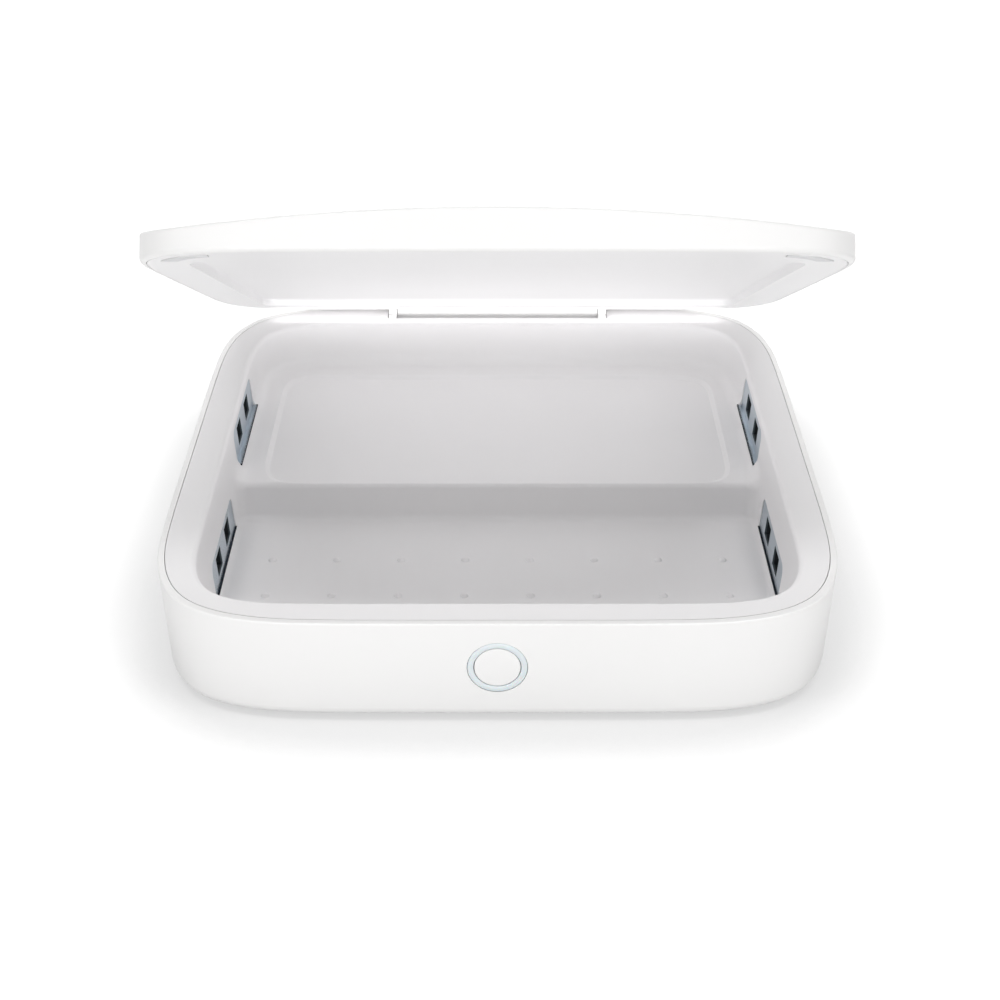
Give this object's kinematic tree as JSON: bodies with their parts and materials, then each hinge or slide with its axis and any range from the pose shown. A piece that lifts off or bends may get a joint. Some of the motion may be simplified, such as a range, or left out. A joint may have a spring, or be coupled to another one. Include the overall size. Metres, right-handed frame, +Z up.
{
  "type": "uv sanitizer box",
  "caption": "Low rounded box with a stepped, lamp-lined tray for a phone and small items, a domed hinged lid and a ringed power button in front.",
  "frame": {"origin": "middle of the base's outline, on the surface that the rubber feet stand on", "axes": "+X to the right, +Y to the hinge side at the back, +Z up; the button faces -Y"},
  "size_m": [0.204, 0.2205, 0.1454],
  "materials": {
    "shell_white": "satin white moulding with a fine polish",
    "tray_white": "matte white moulding",
    "liner_white": "satin white moulding",
    "cover_grey": "fine grained moulding",
    "foot_rubber": "soft matte rubber",
    "bumper_rubber": "soft matte pad",
    "reflector_metal": "blue-grey vacuum-metallised",
    "lamp_glass": "clear window over a ceramic package",
    "circuit_board": "green solder mask",
    "chip_black": "moulded package",
    "coil_dark": "ferrite",
    "inlet_steel": "drawn steel can",
    "screw_steel": "zinc plated",
    "pin_steel": "ground",
    "magnet_nickel": "nickel plated",
    "ring_guide": "pale translucent light guide",
    "button_white": "satin white cap",
    "switch_body": "moulded package",
    "ear_white": "satin white moulding"
  },
  "bodies": {
    "base": {"board_screw_1": "screw_steel", "board_screw_2": "screw_steel", "board_screw_3": "screw_steel", "board_screw_4": "screw_steel", "bottom_cover": "cover_grey", "control_board": "circuit_board", "cover_screw_1": "screw_steel", "cover_screw_2": "screw_steel", "cover_screw_3": "screw_steel", "cover_screw_4": "screw_steel", "driver_coil": "coil_dark", "hinge_ear_left": "ear_white", "hinge_ear_right": "ear_white", "hinge_pin_left": "pin_steel", "hinge_pin_right": "pin_steel", "hinge_screw_1": "screw_steel", "hinge_screw_2": "screw_steel", "hinge_screw_3": "screw_steel", "hinge_screw_4": "screw_steel", "inlet_board": "circuit_board", "inner_tray": "tray_white", "lamp_board_front_left": "circuit_board", "lamp_board_front_right": "circuit_board", "lamp_board_rear_left": "circuit_board", "lamp_board_rear_right": "circuit_board", "lid_sensor": "chip_black", "light_ring": "ring_guide", "outer_shell": "shell_white", "power_inlet": "inlet_steel", "processor_chip": "chip_black", "reflector_front_left": "reflector_metal", "reflector_front_right": "reflector_metal", "reflector_rear_left": "reflector_metal", "reflector_rear_right": "reflector_metal", "rubber_foot_1": "foot_rubber", "rubber_foot_2": "foot_rubber", "rubber_foot_3": "foot_rubber", "rubber_foot_4": "foot_rubber", "switch_board": "circuit_board", "tact_switch": "switch_body", "uv_lamp_front_left_far": "lamp_glass", "uv_lamp_front_left_near": "lamp_glass", "uv_lamp_front_right_far": "lamp_glass", "uv_lamp_front_right_near": "lamp_glass", "uv_lamp_rear_left_far": "lamp_glass", "uv_lamp_rear_left_near": "lamp_glass", "uv_lamp_rear_right_far": "lamp_glass", "uv_lamp_rear_right_near": "lamp_glass"},
    "lid": {"lid_bumper_left": "bumper_rubber", "lid_bumper_right": "bumper_rubber", "lid_liner": "liner_white", "lid_magnet": "magnet_nickel", "lid_shell": "shell_white"},
    "button": {"power_button": "button_white"}
  },
  "joints": [
    {"name": "lid_hinge", "type": "hinge", "parent": "base", "child": "lid", "pos_m": [0, 0.1048, 0.036], "axis": [-1, 0, 0], "range_deg": [-28.1, 46.9]},
    {"name": "button_press", "type": "slide", "parent": "base", "child": "button", "axis": [0, 1, 0], "range_m": [0, 0.0006], "stiffness_N_per_m": 800, "springref_m": -0.0004}
  ]
}
